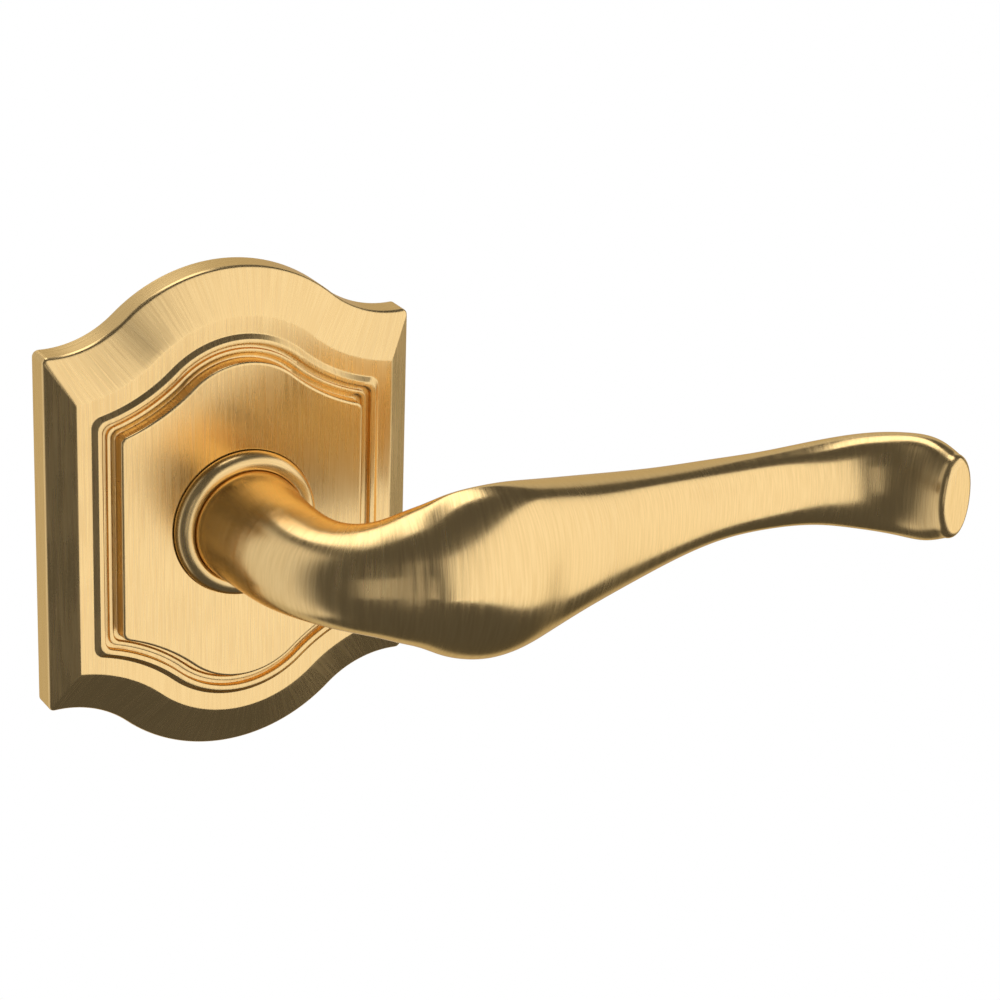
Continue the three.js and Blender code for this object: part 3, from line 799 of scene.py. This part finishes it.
def spline(knots, values, at, ends=None):
    """A cubic spline through values at knots; ends are its first and last slopes, or natural."""
    values = np.asarray(values, float)
    gap = np.diff(knots)
    count = len(knots)
    slope = np.diff(values, axis=0) / gap[:, None]
    matrix = np.zeros((count, count))
    target = np.zeros_like(values)
    for i in range(1, count - 1):
        matrix[i, i - 1 : i + 2] = gap[i - 1], 2 * (gap[i - 1] + gap[i]), gap[i]
        target[i] = 6 * (slope[i] - slope[i - 1])
    if ends is None:
        matrix[0, 0] = matrix[-1, -1] = 1
    else:
        matrix[0, :2] = 2 * gap[0], gap[0]
        matrix[-1, -2:] = gap[-1], 2 * gap[-1]
        target[0] = 6 * (slope[0] - ends[0])
        target[-1] = 6 * (ends[1] - slope[-1])
    bend = np.linalg.solve(matrix, target)
    i = np.clip(np.searchsorted(knots, at, side="right") - 1, 0, count - 2)
    h = gap[i][:, None]
    right = (np.asarray(at) - np.asarray(knots)[i])[:, None]
    left = h - right
    return (
        (bend[i] * left**3 + bend[i + 1] * right**3) / (6 * h)
        + (values[i] / h - bend[i] * h / 6) * left
        + (values[i + 1] / h - bend[i + 1] * h / 6) * right
    )


def tip_turn():
    """Angles along the tip's rounded edge, from just past its start to a quarter turn."""
    return np.radians(np.linspace(0, 90, TIP_STEPS + 1))[1:]


def lever_sections():
    """Centres, directions, half sizes and squareness of the lever's rings, neck to tip."""
    stations = np.array(LEVER)
    path = stations[:, :2] * [1, -1]
    knots = np.concatenate([[0], np.cumsum(np.hypot(*np.diff(path, axis=0).T))])
    at = np.linspace(0, knots[-1], LEVER_RINGS)
    face = np.array(TIP_NORMAL) / math.hypot(*TIP_NORMAL)
    centres = spline(knots, path, at, ends=(np.array([0, -1]), face))
    nearby = spline(knots, path, np.clip(at + 0.01, 0, knots[-1]), ends=(np.array([0, -1]), face))
    ways = nearby - centres
    ways[-1] = face
    ways /= np.linalg.norm(ways, axis=1)[:, None]
    sizes = spline(knots, stations[:, 2:], at)
    turn = tip_turn()
    cap_centres = centres[-1] + TIP_ROUNDING * np.sin(turn)[:, None] * face
    shrink = TIP_ROUNDING * (1 - np.cos(turn))[:, None] * TIP_SHRINK
    centres = np.concatenate([centres, cap_centres])
    ways = np.concatenate([ways, np.tile(face, (len(turn), 1))])
    sizes = np.concatenate([sizes, sizes[-1] - shrink])
    return centres, ways, sizes


def lever_rings(centres, ways, sizes):
    """The rings' points, as an array of rings by sides by three."""
    angle = 2 * np.pi * np.arange(LEVER_SIDES) / LEVER_SIDES
    across = np.stack([-ways[:, 1], ways[:, 0]], axis=1)
    power = 2 / sizes[:, 2:3]
    side = np.sign(np.cos(angle)) * np.abs(np.cos(angle)) ** power * sizes[:, 1:2]
    rise = np.sign(np.sin(angle)) * np.abs(np.sin(angle)) ** power * sizes[:, 0:1]
    x = centres[:, 0:1] + across[:, 0:1] * side
    y = centres[:, 1:2] + across[:, 1:2] * side
    return np.stack([x, y, rise], axis=2)


def shank_rings():
    """The round shank on the door side, with its snap ring's groove, from its end to the neck."""
    radius = SHANK["radius"]
    profile = [
        (radius - SHANK["chamfer"], SHANK["end"]),
        (radius, SHANK["end"] + SHANK["chamfer"]),
        (radius, GROOVE["back"]),
        (GROOVE["radius"], GROOVE["back"]),
        (GROOVE["radius"], GROOVE["front"]),
        (radius, GROOVE["front"]),
        (radius, LEVER[0][1]),
    ]
    angle = 2 * np.pi * np.arange(LEVER_SIDES) / LEVER_SIDES
    return [
        np.stack([r * np.cos(angle), np.full(LEVER_SIDES, -out), r * np.sin(angle)], axis=1)
        for r, out in profile
    ]


def box_cutter(name, low, high, material):
    corners = [(x, y, z) for x in (low[0], high[0]) for y in (low[1], high[1]) for z in (low[2], high[2])]
    faces = [(0, 1, 3, 2), (4, 6, 7, 5), (0, 4, 5, 1), (2, 3, 7, 6), (0, 2, 6, 4), (1, 5, 7, 3)]
    cutter = mesh_piece(name, corners, faces, material)
    face_outwards(cutter)
    return cutter


def make_lever(material):
    centres, ways, sizes = lever_sections()
    body = lever_rings(centres, ways, sizes)
    rings = np.concatenate([np.array(shank_rings()), body])
    count, sides = rings.shape[:2]
    points = rings.reshape(-1, 3)
    faces = grid_faces(count, sides)
    middle = rings.mean(axis=1)
    travel = np.concatenate([[0], np.cumsum(np.linalg.norm(np.diff(middle, axis=0), axis=1))])
    travel[-TIP_STEPS:] = travel[-TIP_STEPS - 1] + TIP_ROUNDING * tip_turn()
    angle = 2 * np.pi * np.arange(sides + 1) / sides
    around = np.minimum(angle, 2 * np.pi - angle) * BRUSH_RADIUS
    near, far = np.meshgrid(travel[:-1], around[:-1], indexing="ij")
    near_next, far_next = np.meshgrid(travel[1:], around[1:], indexing="ij")
    brush = np.stack(
        [
            np.stack([near, far], -1),
            np.stack([near, far_next], -1),
            np.stack([near_next, far_next], -1),
            np.stack([near_next, far], -1),
        ],
        axis=2,
    ).reshape(-1, 4, 2)
    tip = list(range((count - 1) * sides, count * sides))
    end = list(range(sides))[::-1]
    tip_brush = [(points[i, 0], points[i, 2]) for i in tip]
    end_brush = [(points[i, 0], points[i, 2]) for i in end]
    corners = np.concatenate([brush.reshape(-1, 2), tip_brush, end_brush])
    lever = mesh_piece("lever_brass", points, [*faces.tolist(), tip, end], material, corners)
    face_outwards(lever)
    half = SOCKET["side"] / 2
    flat = SHANK["half_flat"]
    wide, back = CUT_REACH, -SHANK["flat_from"]
    cutters = [
        box_cutter("socket", (-half, -SOCKET["deep"], -half), (half, CUT_PAST, half), material),
        box_cutter("upper_flat", (-wide, back, flat), (wide, CUT_PAST, flat + FLAT_CUT), material),
        box_cutter("lower_flat", (-wide, back, -flat - FLAT_CUT), (wide, CUT_PAST, -flat), material),
        drill_cutter(
            "screw_hole", SET_SCREW["hole"], SET_SCREW["at"], (-CUT_REACH, 0), DRILL_SIDES, material
        ),
    ]
    cut(lever, *cutters)
    weigh_normals(lever)
    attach(lever, "lever")
    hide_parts("lever_handle")


# ---- Inner works --------------------------------------------------------------------------------


def spring_points(side):
    """Rings of wire along the coil; side is -1 for the spring on the left and 1 for the right."""
    along = np.linspace(0, 1, SPRING_STEPS + 1)[:, None]
    angle = np.radians(SPRING["first"] + (SPRING["last"] - SPRING["first"]) * along)
    turn = 2 * np.pi * SPRING["turns"] * along
    outward = np.concatenate([np.cos(angle), np.zeros_like(angle), np.sin(angle)], axis=1)
    roomward = np.array([0, -1, 0])
    coil_out = np.cos(turn) * outward + np.sin(turn) * roomward
    centres = SPRING["arc"] * outward + SPRING["out"] * roomward + SPRING["coil"] * coil_out
    ahead = np.gradient(centres, axis=0)
    ahead /= np.linalg.norm(ahead, axis=1)[:, None]
    beside = np.cross(ahead, coil_out)
    around = 2 * np.pi * np.arange(WIRE_SIDES)[None, :, None] / WIRE_SIDES
    ring = np.cos(around) * coil_out[:, None] + np.sin(around) * beside[:, None]
    points = (centres[:, None] + SPRING["wire"] * ring).reshape(-1, 3)
    return points * [-side, 1, 1]


def make_return_spring(name, side, material):
    """A spring coiled from its end at the hub to its end on the fixed stop; it stays where it is built.
    """
    rings = SPRING_STEPS + 1
    first = list(range(WIRE_SIDES))
    last = list(range(SPRING_STEPS * WIRE_SIDES, rings * WIRE_SIDES))
    faces = [*grid_faces(rings, WIRE_SIDES).tolist(), first, last]
    spring = mesh_piece(f"{name}_coil", spring_points(side), faces, material)
    face_outwards(spring)
    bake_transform(spring)
    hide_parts(name)


def finish_inner_works():
    """Gives every CAD node that still shows its own metal or nylon."""
    by_slot = {}
    for name, finish in INNER_FINISHES.items():
        material = speckled(name, **finish["look"])
        by_slot.update(dict.fromkeys(finish["slots"], material))
    slots = {row["node"]: row["material_slot"] for row in frame["record"]["subparts"]}
    for node, piece in frame["nodes"].items():
        if piece.hide_render:
            continue
        piece.data.materials.clear()
        piece.data.materials.append(by_slot[slots[node]])


# ---- Scene --------------------------------------------------------------------------------------

light_studio()
lay_floor()
place_camera()
make_rosette(brushed_brass("satin_brass_rosette", **BRASS["rosette"]))
make_collar(brushed_brass("satin_brass_collar", **BRASS["collar"]))
make_lever(brushed_brass("satin_brass_lever", **BRASS["lever"]))
finish_inner_works()
for spring_name, spring_side in (("return_spring_left", -1), ("return_spring_right", 1)):
    make_return_spring(spring_name, spring_side, bpy.data.materials["spring_steel"])
